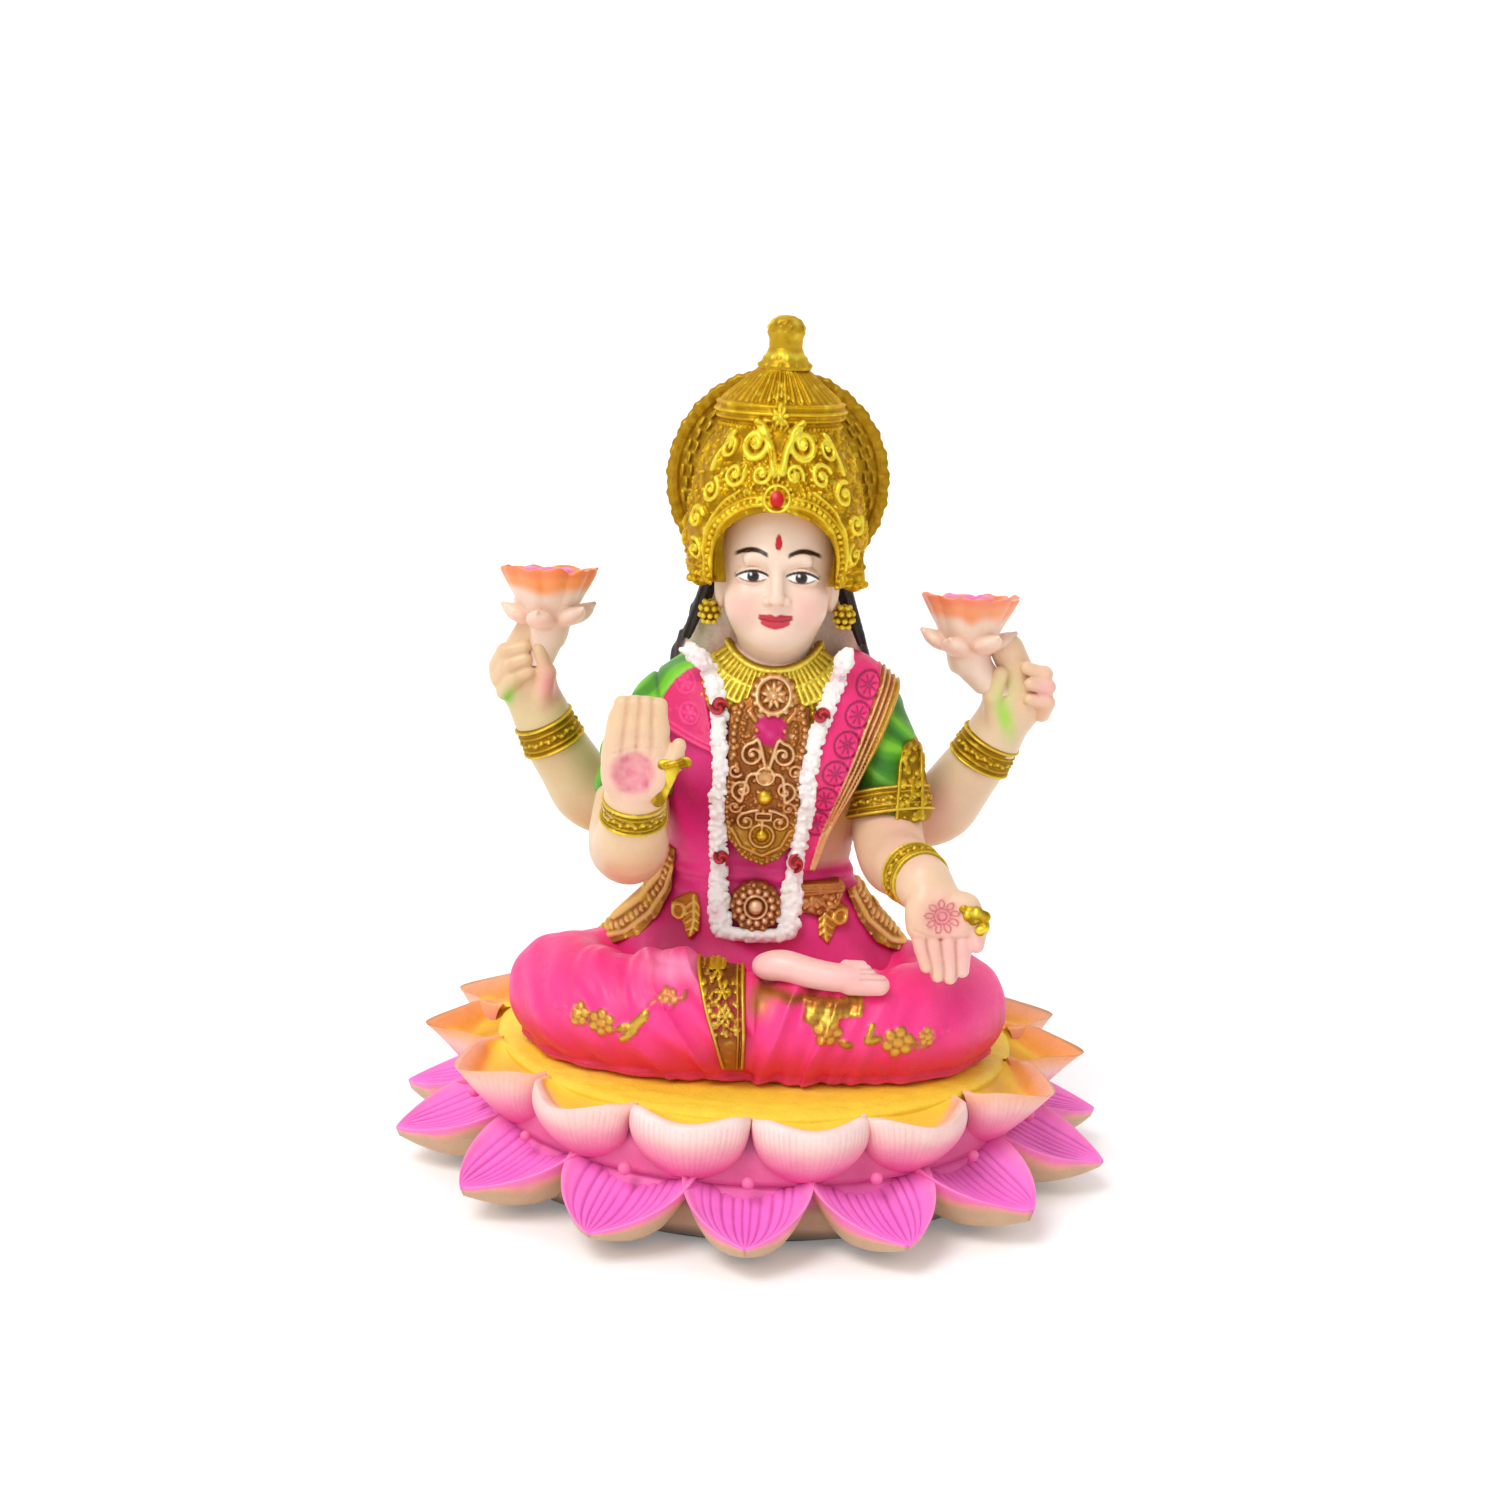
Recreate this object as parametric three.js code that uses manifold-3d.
// A painted resin statuette: a four-armed figure, seated cross-legged on a double lotus base.
// Millimetres, +Z up. The figure faces -Y, so its own right side is -X.
// The origin is the centre of the underside.
import * as THREE from "three";
import { mergeVertices } from "three/addons/utils/BufferGeometryUtils.js";
import Module from "manifold-3d";

const wasm = await Module();
wasm.setup();

// Driving dimensions.
const GAP = 0.3; // glue line between neighbouring castings
const HEIGHT = 150;
const BASE_RADIUS = 63; // to the outer petals' tips
const PAD_THICKNESS = 1;
const PAD_RADIUS = 44;
const PETALS = 16; // in each ring of the base
const BASE_TOP = 11; // top of the lower casting's core
const SEAT_TOP = 23.2; // what the legs rest on
const SEAT_RADIUS = 46;
const CROWN_BASE = 104.5; // lowest edge of the crown, over the ears
const FINIAL_BASE = 141;
const HALO_CENTRE = 121;
const HALO_RADIUS = 19.5;
const HALO_FRONT = 8; // the halo's front face, in Y
const HALO_THICKNESS = 2.8;
const HALO_RIM = 2.2; // width of its raised rim
const HALO_RIM_RISE = 1.2;

const X = new THREE.Vector3(1, 0, 0);
const Z = new THREE.Vector3(0, 0, 1);

const paint = (color, roughness, metalness = 0) =>
  new THREE.MeshStandardMaterial({ color, roughness, metalness });
const PAINTS = {
  skin: paint("#eccdb4", 0.45),
  pink: paint("#e0247c", 0.5),
  petalPink: paint("#f26fc4", 0.55),
  blush: paint("#f3b7b2", 0.55),
  yellow: paint("#f2b51c", 0.6),
  green: paint("#4fa62e", 0.5),
  gold: paint("#c9a21e", 0.35, 0.8),
  copper: paint("#b5723a", 0.4, 0.7),
  white: paint("#f6f1ee", 0.7),
  hair: paint("#2b201e", 0.6),
  felt: paint("#26262e", 0.95),
};

// ---- Solids ----

// The geometry with one vertex at each place, ready to be reshaped or turned into a solid.
function merged(geometry) {
  const plain = geometry.clone();
  plain.deleteAttribute("normal");
  plain.deleteAttribute("uv");
  return mergeVertices(plain, 1e-4);
}

// Moves every vertex of a merged geometry to move(vertex).
function reshape(geometry, move) {
  const place = geometry.getAttribute("position");
  const vertex = new THREE.Vector3();
  for (let i = 0; i < place.count; i++) {
    const moved = move(vertex.fromBufferAttribute(place, i));
    place.setXYZ(i, moved.x, moved.y, moved.z);
  }
  return geometry;
}

function solidOf(geometry) {
  return new wasm.Manifold(
    new wasm.Mesh({
      numProp: 3,
      vertProperties: new Float32Array(geometry.getAttribute("position").array),
      triVerts: new Uint32Array(geometry.index.array),
    }),
  );
}

function geometryOf(solid) {
  const mesh = solid.getMesh();
  return new THREE.BufferGeometry()
    .setAttribute("position", new THREE.BufferAttribute(mesh.vertProperties, 3))
    .setIndex(new THREE.BufferAttribute(mesh.triVerts, 1));
}

const joined = (solids) => solids.reduce((all, one) => all.add(one));
const cut = (solid, ...cutters) => cutters.reduce((left, cutter) => left.subtract(cutter), solid);

// The largest body of a solid, without the slivers that a cut leaves beside it.
function mainBody(solid) {
  return solid.decompose().reduce((most, one) => (one.volume() > most.volume() ? one : most));
}

// A box from one corner to the other.
function box(low, high) {
  const size = high.map((value, i) => value - low[i]);
  const centre = high.map((value, i) => (value + low[i]) / 2);
  return solidOf(merged(new THREE.BoxGeometry(...size).translate(...centre)));
}

// A round body about the Z axis, from [radius, height] points that start and end on the axis.
function turned(profile, sides = 28) {
  const points = profile.map(([radius, height]) => new THREE.Vector2(radius, height));
  return merged(new THREE.LatheGeometry(points, sides).rotateX(Math.PI / 2));
}

// A body lofted through stations [x, y, z, half width, half depth]. The result is a function
// that makes any stretch of it, grown outwards by any amount. Widths lie along the wide vector.
function loft(stations, { sides = 12, steps = 8, wide = X } = {}) {
  const path = new THREE.CatmullRomCurve3(
    stations.map(([x, y, z]) => new THREE.Vector3(x, y, z)),
    false,
    "catmullrom",
    0.5,
  );
  const radii = new THREE.SplineCurve(
    stations.map(([, , , width, depth]) => new THREE.Vector2(width, depth)),
  );
  const length = path.getLength();
  return ({ from = 0, to = 1, grow = 0 } = {}) => {
    const spread = grow / length;
    const low = from === 0 ? -spread : from;
    const high = to === 1 ? 1 + spread : to;
    const rings = Math.max(1, Math.round(steps * (high - low)));
    return solidOf(
      reshape(merged(new THREE.CylinderGeometry(1, 1, 1, sides, rings)), (v) => {
        const t = low + (high - low) * (v.y + 0.5);
        const inside = THREE.MathUtils.clamp(t, 0, 1);
        const along = path.getTangent(inside);
        const across = wide.clone().addScaledVector(along, -wide.dot(along)).normalize();
        const out = across.clone().cross(along);
        const radius = radii.getPoint(inside);
        return path
          .getPoint(inside)
          .addScaledVector(along, (t - inside) * length)
          .addScaledVector(across, v.x * (radius.x + grow))
          .addScaledVector(out, v.z * (radius.y + grow));
      }),
    );
  };
}

// A band worn round a lofted limb, clear of it by the glue line.
function band(limb, from, to, thickness) {
  const margin = 0.02;
  return cut(
    limb({ from, to, grow: GAP + thickness }),
    limb({ from: from - margin, to: to + margin, grow: GAP }),
  );
}

// A relief plate on the front of a lofted body: the body's skin inside an outline drawn in XZ.
function relief(body, outline, inner, outer) {
  const reach = 60;
  const prism = new THREE.ExtrudeGeometry(outline, {
    depth: reach,
    bevelEnabled: false,
    curveSegments: 6,
  }).rotateX(Math.PI / 2);
  return cut(body({ grow: outer }).intersect(solidOf(merged(prism))), body({ grow: inner }));
}

function outlineOf(points) {
  return new THREE.Shape(points.map(([x, z]) => new THREE.Vector2(x, z)));
}

const roundRing = (count, make) =>
  Array.from({ length: count }, (_, i) => make((i * 2 * Math.PI) / count));

// ---- Base ----

// One petal of the base, pointing along +X from the axis: a bowl-shaped blade whose side edges
// rise, narrowing to a point at the tip.
function petal({ root, tip, halfWidth, bottom, rootTop, tipTop, edgeRise, tipThickness }) {
  const length = tip - root;
  const blade = merged(new THREE.BoxGeometry(1, 1, 1, 5, 4, 1));
  return reshape(blade, (v) => {
    const u = v.x + 0.5;
    const across = v.y * 2;
    const half = halfWidth * Math.sqrt(Math.max(1 - u ** 2.4, 0.0004)) * (0.86 + 0.14 * u);
    const rise = edgeRise * across * across * (1 - u * u);
    const top = THREE.MathUtils.lerp(rootTop, tipTop, u ** 1.4) + rise;
    const under = THREE.MathUtils.lerp(bottom, tipTop - tipThickness, u ** 2.2);
    return v.set(root + length * u, across * half, v.z > 0 ? top : under);
  });
}

const turnedBy = (geometry, angle) => solidOf(geometry.clone().rotateZ(angle));

function lowerLotus() {
  const blade = petal({
    root: 36,
    tip: BASE_RADIUS,
    halfWidth: 11.2,
    bottom: PAD_THICKNESS + GAP,
    rootTop: 11,
    tipTop: 8,
    edgeRise: 4.5,
    tipThickness: 1.6,
  });
  const core = solidOf(
    turned([
      [0, PAD_THICKNESS + GAP],
      [46, PAD_THICKNESS + GAP],
      [49, 5],
      [46, BASE_TOP],
      [0, BASE_TOP],
    ]),
  );
  const trim = box([-80, -80, BASE_TOP], [80, 80, 40]).subtract(clearBore(43, 50));
  const petals = roundRing(PETALS, (angle) => turnedBy(blade, angle - Math.PI / 2));
  return cut(joined([core, ...petals]), upperLotusSpace(), trim.intersect(upperLotusSpace()));
}

// A vertical cylinder used only to cut.
function clearBore(radius, top) {
  return solidOf(
    turned([
      [0, -1],
      [radius, -1],
      [radius, top],
      [0, top],
    ]),
  );
}

// The room that the upper lotus takes, with the glue line round it.
function upperLotusSpace() {
  return solidOf(
    turned([
      [0, BASE_TOP],
      [48.6, BASE_TOP],
      [54, 17],
      [62, 30],
      [0, 30],
    ]),
  );
}

function upperLotus() {
  const blade = merged(new THREE.SphereGeometry(1, 10, 6));
  reshape(blade, (v) => {
    const lean = 3.6 * v.z;
    const point = 3.4 * Math.max(v.z, 0) * (1 - v.y * v.y);
    return v.set(48.6 + 4.6 * v.x + lean + point, 9.9 * v.y, 17.3 + 6.2 * v.z);
  });
  const core = solidOf(
    turned([
      [0, BASE_TOP + GAP],
      [46.5, BASE_TOP + GAP],
      [47.5, 20],
      [0, 20],
    ]),
  );
  const half = Math.PI / PETALS;
  const petals = roundRing(PETALS, (angle) => turnedBy(blade, angle - Math.PI / 2 + half));
  const room = upperLotusSpace();
  const inside = turned([
    [0, BASE_TOP + GAP],
    [48.3, BASE_TOP + GAP],
    [53.7, 17],
    [61.7, 30],
    [0, 30],
  ]);
  const seatHollow = turned([
    [0, 20],
    [SEAT_RADIUS, 20],
    [SEAT_RADIUS + 1.5, 30],
    [0, 30],
  ]);
  return cut(joined([core, ...petals]).intersect(room).intersect(solidOf(inside)), solidOf(seatHollow));
}

function seat() {
  return turned([
    [0, 20 + GAP],
    [SEAT_RADIUS - GAP, 20 + GAP],
    [SEAT_RADIUS - GAP, SEAT_TOP - 1.2],
    [SEAT_RADIUS - 3, SEAT_TOP],
    [0, SEAT_TOP],
  ]);
}

function pad() {
  return turned([
    [0, 0],
    [PAD_RADIUS, 0],
    [PAD_RADIUS, PAD_THICKNESS],
    [0, PAD_THICKNESS],
  ]);
}

// ---- Body ----

const torso = loft(
  [
    [0, -2, 33, 26, 15],
    [0, -1, 41, 24, 14.5],
    [0, 0, 49, 17.5, 12],
    [0, 0, 57, 16.5, 11.5],
    [0, -1, 66, 18, 12.5],
    [0, -1.5, 75, 19, 13],
    [0, 0, 84, 18.5, 10.5],
    [0, 1, 89, 13, 8.5],
    [0.5, 1, 91.5, 8, 7.5],
  ],
  { sides: 20, steps: 10 },
);

const neck = loft(
  [
    [0.5, 0, 86, 6.4, 6],
    [0.7, -1, 92, 6, 6],
    [0.8, -2, 98, 6.2, 6.6],
  ],
  { sides: 16, steps: 3 },
);

const skull = loft(
  [
    [0.8, -6, 93, 3, 4],
    [0.8, -4.8, 95, 6.2, 7],
    [0.8, -3.5, 101, 9.2, 9.8],
    [0.6, -2.5, 109, 10.2, 10.8],
    [0.5, -2, 117, 9.6, 10],
    [0.5, -2, 124, 5, 6],
  ],
  { sides: 20, steps: 8 },
);

const rightFrontArm = loft([
  [-15, 1, 86, 6, 6],
  [-21.5, 0, 79, 6.8, 6.4],
  [-24, -3, 68, 6.8, 6.4],
  [-23.6, -12, 61.5, 6.8, 6],
  [-22.4, -23, 64, 6.2, 5.6],
  [-21.5, -32.5, 70.5, 4.7, 4.2],
]);

const leftFrontArm = loft([
  [15, 1, 86, 6, 6],
  [21, 0, 79, 6.4, 6.2],
  [22.6, -1, 68, 6, 6],
  [22, -7, 58.5, 5.8, 5.6],
  [23.6, -17, 58, 5.4, 5],
  [26, -27, 60, 4.5, 4.1],
]);

// A rear arm leaves the back of the shoulder, bends at the elbow and rises beside the head.
const rearArm = (side) =>
  loft([
    [side * 13, 8, 78, 5, 4.5],
    [side * 21, 11.5, 69, 6, 5],
    [side * 28.5, 12, 61, 6.2, 5.6],
    [side * 34.4, 9.5, 66.5, 5.6, 5.2],
    [side * 39, 6.5, 75, 4.8, 4.6],
    [side * 41.6, 5.4, 80.5, 4.4, 4.2],
  ]);
const rightRearArm = rearArm(-1);
const leftRearArm = rearArm(1);

// Each leg runs from the hip out to the knee and back along the shin to the middle.
const rightLeg = loft(
  [
    [-8, 10, 33, 9.5, 10],
    [-24, 2, 33, 9.8, 11],
    [-34, -10, 32.9, 9.6, 10],
    [-26, -24, 32.9, 9.6, 10.5],
    [-12, -28, 32.8, 9.5, 9.5],
    [2, -29, 32.8, 9, 9],
  ],
  { wide: Z, sides: 14, steps: 10 },
);
const leftLeg = loft(
  [
    [8, 10, 33, 9.5, 10],
    [24, 2, 33, 9.8, 11],
    [34.2, -10, 32.9, 9.6, 10],
    [27, -23, 32.9, 9.6, 10.5],
    [12, -27, 32.8, 9.5, 9.5],
    [0, -28, 32.8, 9, 9],
  ],
  { wide: Z, sides: 14, steps: 10 },
);
const foot = loft(
  [
    [-2, -28, 43.6, 2.8, 3.2],
    [3, -29, 44, 3.4, 4],
    [10, -30.5, 43, 2.6, 3.8],
    [17, -31, 43, 2.4, 4],
    [22, -31, 42.6, 1.4, 2.6],
  ],
  { wide: Z, sides: 12, steps: 6 },
);

const lap = loft(
  [
    [0, -6, 23.6, 30, 20],
    [0, -6, 32, 31, 22],
    [0, -6, 39.6, 27, 19],
  ],
  { sides: 20, steps: 2 },
);
const lowerBody = (options) => joined([rightLeg(options), leftLeg(options), lap(options)]);

function legs() {
  const under = box([-80, -80, 0], [80, 80, SEAT_TOP + GAP]);
  return cut(
    lowerBody(),
    under,
    torso({ grow: GAP }),
    foot({ grow: GAP }),
    leftFrontHand.blade({ grow: GAP }),
  );
}

// The long hair hangs behind the neck and down the back.
function hair() {
  const outline = outlineOf([
    [-12.5, 103.5],
    [12.5, 103.5],
    [14.5, 98],
    [18.5, 88.5],
    [16.5, 74],
    [11, 60],
    [0, 54],
    [-11, 60],
    [-16.5, 74],
    [-18.5, 88.5],
    [-14.5, 98],
  ]);
  const slab = new THREE.ExtrudeGeometry(outline, { depth: 12, bevelEnabled: false })
    .rotateX(Math.PI / 2)
    .translate(0, 15.5, 0);
  return cut(
    solidOf(merged(slab)).intersect(torso({ grow: 4.2 }).add(box([-30, 3.5, 89], [30, 12, 110]))),
    torso({ grow: GAP }),
    neck({ grow: GAP }),
    skull({ grow: GAP }),
    rightFrontArm({ grow: GAP }),
    leftFrontArm({ grow: GAP }),
    rightRearArm({ grow: GAP }),
    leftRearArm({ grow: GAP }),
    haloSpace(),
    solidOf(halo(GAP)),
  );
}

// The room in front of and behind the halo, down to its lowest edge.
function haloSpace() {
  const low = HALO_CENTRE - HALO_RADIUS - GAP;
  return box([-40, HALO_FRONT - GAP, low], [40, 40, HEIGHT]);
}

// ---- Hands ----

// A hand is a flat blade of palm and closed fingers, with a thumb beside it.
function hand(blade, thumb) {
  return { blade: loft(blade, { sides: 12, steps: 5 }), thumb: loft(thumb, { sides: 8, steps: 3 }) };
}
const handSolid = ({ blade, thumb }) => blade().add(thumb());

const rightFrontHand = hand(
  [
    [-21.3, -35.5, 72.4, 4.4, 2.8],
    [-21, -37.3, 77, 5.6, 2.6],
    [-20.9, -37.8, 83, 5.4, 2.1],
    [-20.8, -37.4, 90, 4.4, 1.5],
  ],
  [
    [-18, -37.3, 75, 2, 2],
    [-15, -38, 79, 1.9, 1.9],
    [-13.8, -38.6, 82.6, 1.2, 1.2],
  ],
);
const leftFrontHand = hand(
  [
    [28, -30, 58.3, 4.5, 3],
    [30, -32, 54.5, 6, 2.8],
    [31, -33.5, 49, 5.6, 2.3],
    [31.6, -34.6, 42.6, 4.4, 1.6],
  ],
  [
    [33, -32, 56.5, 2, 2],
    [36, -33.4, 53, 1.9, 1.9],
    [36.6, -34.4, 48.6, 1.2, 1.2],
  ],
);

// The rear hands are loose fists that hold a flower's stem.
const rearHand = (side) =>
  loft(
    [
      [side * 41.9, 5.2, 81.2, 4.4, 4.2],
      [side * 43.4, 4.4, 85, 5.6, 4.4],
      [side * 42.6, 4, 89.6, 5, 4.2],
      [side * 40.4, 4, 92.4, 3.2, 3.2],
    ],
    { sides: 14, steps: 5 },
  );
const rightRearHand = rearHand(-1);
const leftRearHand = rearHand(1);

// An open lotus flower: a stem that widens into a flared bowl of petals.
function flower() {
  const bloom = turned(
    [
      [0, 0],
      [2.6, 0],
      [3.6, 2.6],
      [7.2, 5.2],
      [8.8, 9.6],
      [8.2, 12],
      [0, 11],
    ],
    16,
  );
  return bloom;
}

// ---- Crown, halo and jewellery ----

function crown() {
  const shell = solidOf(
    turned([
      [0, CROWN_BASE],
      [13.8, CROWN_BASE],
      [15.6, 110],
      [15, 118],
      [12.8, 126],
      [10.2, 131.5],
      [11, 133],
      [11, 135],
      [4.4, FINIAL_BASE - GAP],
      [0, FINIAL_BASE - GAP],
    ]),
  );
  // The front is open from cheek to cheek, under an arch at the forehead.
  const opening = new THREE.Shape();
  opening.moveTo(-10.6, 90);
  opening.lineTo(-10.6, 109);
  opening.quadraticCurveTo(-9.5, 118, 0, 118);
  opening.quadraticCurveTo(9.5, 118, 10.6, 109);
  opening.lineTo(10.6, 90);
  const face = new THREE.ExtrudeGeometry(opening, { depth: 30, bevelEnabled: false, curveSegments: 5 })
    .rotateX(Math.PI / 2);
  return cut(
    shell,
    solidOf(merged(face)),
    skull({ grow: GAP }),
    haloSpace(),
    solidOf(halo(GAP)),
  );
}

function finial() {
  return turned(
    [
      [0, 0],
      [4.3, 0],
      [4.2, 0.9],
      [2.9, 3],
      [2.9, 4.2],
      [3.4, 6],
      [2.6, 8.2],
      [0, HEIGHT - FINIAL_BASE],
    ],
    14,
  );
}

// The halo is a disc with a raised rim on its front, grown outwards by any amount.
function halo(grow = 0) {
  const front = HALO_THICKNESS + grow;
  const rimRadius = HALO_RADIUS - HALO_RIM - grow;
  return turned([
    [0, -grow],
    [HALO_RADIUS + grow, -grow],
    [HALO_RADIUS + grow, front + HALO_RIM_RISE],
    [rimRadius, front + HALO_RIM_RISE],
    [rimRadius, front],
    [0, front],
  ])
    .rotateX(Math.PI / 2)
    .translate(0, HALO_FRONT + HALO_THICKNESS, HALO_CENTRE);
}

function earring() {
  return merged(new THREE.SphereGeometry(2.3, 12, 8).scale(0.9, 0.8, 1.15));
}

// ---- Front reliefs, from the skin of the torso outwards ----

const SKIN_LAYER = [GAP, 1.5];
const SCARF_LAYER = [GAP, 1.8];
const PENDANT_LAYER = [1.8, 3];
const GARLAND_LAYER = [3.3, 5.6];

const necklaceOutline = outlineOf([
  [-12.5, 89.5],
  [-7, 84],
  [0, 81.6],
  [7, 84],
  [12.5, 89.5],
  [9, 80],
  [0, 75],
  [-9, 80],
]);

function necklace() {
  return mainBody(
    cut(relief(torso, necklaceOutline, ...SKIN_LAYER), rightFrontArm({ grow: GAP }), leftFrontArm({ grow: GAP })),
  );
}

function scarf() {
  const outline = outlineOf([
    [12.6, 88.6],
    [17.6, 86],
    [15.5, 72],
    [7.5, 55.6],
    [1, 56.5],
    [7.6, 73],
  ]);
  return mainBody(
    cut(
      relief(torso, outline, ...SCARF_LAYER),
      leftFrontArm({ grow: GAP }),
      relief(torso, necklaceOutline, 0, 4),
    ),
  );
}

function pendant() {
  const outline = outlineOf([
    [0, 86.5],
    [4.6, 84],
    [5.4, 74],
    [5, 62],
    [0, 57],
    [-5.6, 62],
    [-6, 74],
    [-4.8, 84],
  ]);
  return relief(torso, outline, ...PENDANT_LAYER);
}

// The garland is one loop: two strands down the front, joined across the waist.
function garland() {
  const outline = outlineOf([
    [-12.6, 88],
    [-9.4, 88],
    [-5.4, 74],
    [-5.6, 50],
    [4.6, 50],
    [6, 58],
    [6.2, 74],
    [10.4, 88],
    [13.6, 88],
    [9.4, 73],
    [8.4, 58],
    [7.6, 46.4],
    [-8.6, 46.4],
    [-8.4, 73],
  ]);
  return mainBody(
    cut(
      relief(torso, outline, ...GARLAND_LAYER),
      torso({ grow: GAP }),
      rightFrontArm({ grow: GAP }),
      leftFrontArm({ grow: GAP }),
    ),
  );
}

function beltMedallion() {
  const outline = new THREE.Shape();
  outline.absarc(-0.4, 51, 3.6, 0, 2 * Math.PI);
  return relief(torso, outline, ...SKIN_LAYER);
}

// The bordered end of the cloth, hanging over the crossed shins.
function sash() {
  const outline = outlineOf([
    [-8.4, 43.6],
    [-1.6, 43.6],
    [-1.4, 34],
    [-3, 26.5],
    [-6, 27.5],
  ]);
  return mainBody(
    cut(
      relief(lowerBody, outline, GAP, 1.5),
      foot({ grow: GAP }),
      torso({ grow: GAP }),
      box([-40, -20, 20], [40, 20, 60]),
    ),
  );
}

// ---- Assembly ----

const statuette = new THREE.Group();

// Adds a geometry or a solid to a group as a named piece.
function piece(group, name, shape, finish, place = [0, 0, 0]) {
  const geometry = shape.isBufferGeometry ? shape : geometryOf(shape);
  const mesh = new THREE.Mesh(geometry, PAINTS[finish]);
  mesh.name = name;
  mesh.position.set(...place);
  group.add(mesh);
  return mesh;
}

const base = new THREE.Group();
piece(base, "felt_pad", pad(), "felt");
piece(base, "lotus_base_lower", lowerLotus(), "petalPink");
piece(base, "lotus_base_upper", upperLotus(), "blush");
piece(base, "seat", seat(), "yellow");

const armSleeve = { from: 0, to: 0.42 };
const allButSleeve = { from: 0.42, to: 1 };
const bodyCut = () => torso({ grow: GAP });

const body = new THREE.Group();
const headSolid = cut(skull().add(neck()), torso({ grow: GAP }), haloSpace(), solidOf(halo(GAP)));
piece(body, "legs", legs(), "pink");
piece(body, "torso", torso(), "pink");
piece(body, "head", headSolid, "skin");
piece(body, "hair", hair(), "hair");
piece(body, "right_foot", foot(), "skin");
piece(body, "sash_end", sash(), "copper");

const arms = new THREE.Group();
const fronts = [
  { name: "right_front", limb: rightFrontArm, hand: rightFrontHand, bangle: [0.86, 0.97] },
  { name: "left_front", limb: leftFrontArm, hand: leftFrontHand, bangle: [0.84, 0.96] },
];
for (const { name, limb, hand: palm, bangle } of fronts) {
  const gap = GAP / 60;
  piece(arms, `${name}_sleeve`, cut(limb(armSleeve), bodyCut()), "green");
  piece(arms, `${name}_arm`, cut(limb({ from: allButSleeve.from + gap, to: 1 }), bodyCut()), "skin");
  piece(arms, `${name}_bangle`, band(limb, ...bangle, 1), "gold");
  piece(arms, `${name}_hand`, cut(handSolid(palm), limb({ grow: GAP })), "skin");
}
const armlet = cut(band(leftFrontArm, 0.3, 0.4, 0.9), leftFrontArm({ ...armSleeve, grow: GAP }), bodyCut());
piece(arms, "left_front_armlet", armlet, "gold");

const rears = [
  { name: "right_rear", limb: rightRearArm, palm: rightRearHand, front: rightFrontArm, bloom: [-39.4, 3.4, 91.8] },
  { name: "left_rear", limb: leftRearArm, palm: leftRearHand, front: leftFrontArm, bloom: [34.8, 3.4, 90] },
];
for (const { name, limb, palm, front, bloom } of rears) {
  const arm = cut(limb(), bodyCut(), front({ grow: 1.6 }));
  piece(arms, `${name}_arm`, arm, "skin");
  piece(arms, `${name}_bangle`, band(limb, 0.78, 0.9, 1), "gold");
  const space = solidOf(reshape(flower(), (v) => v.multiplyScalar(1.08).add(new THREE.Vector3(...bloom))));
  piece(arms, `${name}_hand`, cut(palm(), limb({ grow: GAP }), space), "skin");
  piece(arms, `${name}_lotus`, flower(), "blush", bloom);
}

const ornaments = new THREE.Group();
piece(ornaments, "crown", crown(), "gold");
piece(ornaments, "crown_finial", finial(), "gold", [0.4, 0, FINIAL_BASE]);
piece(ornaments, "halo", halo(), "gold");
piece(ornaments, "right_earring", earring(), "gold", [-11.6, -1, 99.4]);
piece(ornaments, "left_earring", earring(), "gold", [13.2, -1, 99.4]);
piece(ornaments, "necklace", necklace(), "gold");
piece(ornaments, "shoulder_scarf", scarf(), "pink");
piece(ornaments, "chest_pendant", pendant(), "copper");
piece(ornaments, "garland", garland(), "white");
piece(ornaments, "belt_medallion", beltMedallion(), "copper");

statuette.add(base, body, arms, ornaments);

export default statuette;
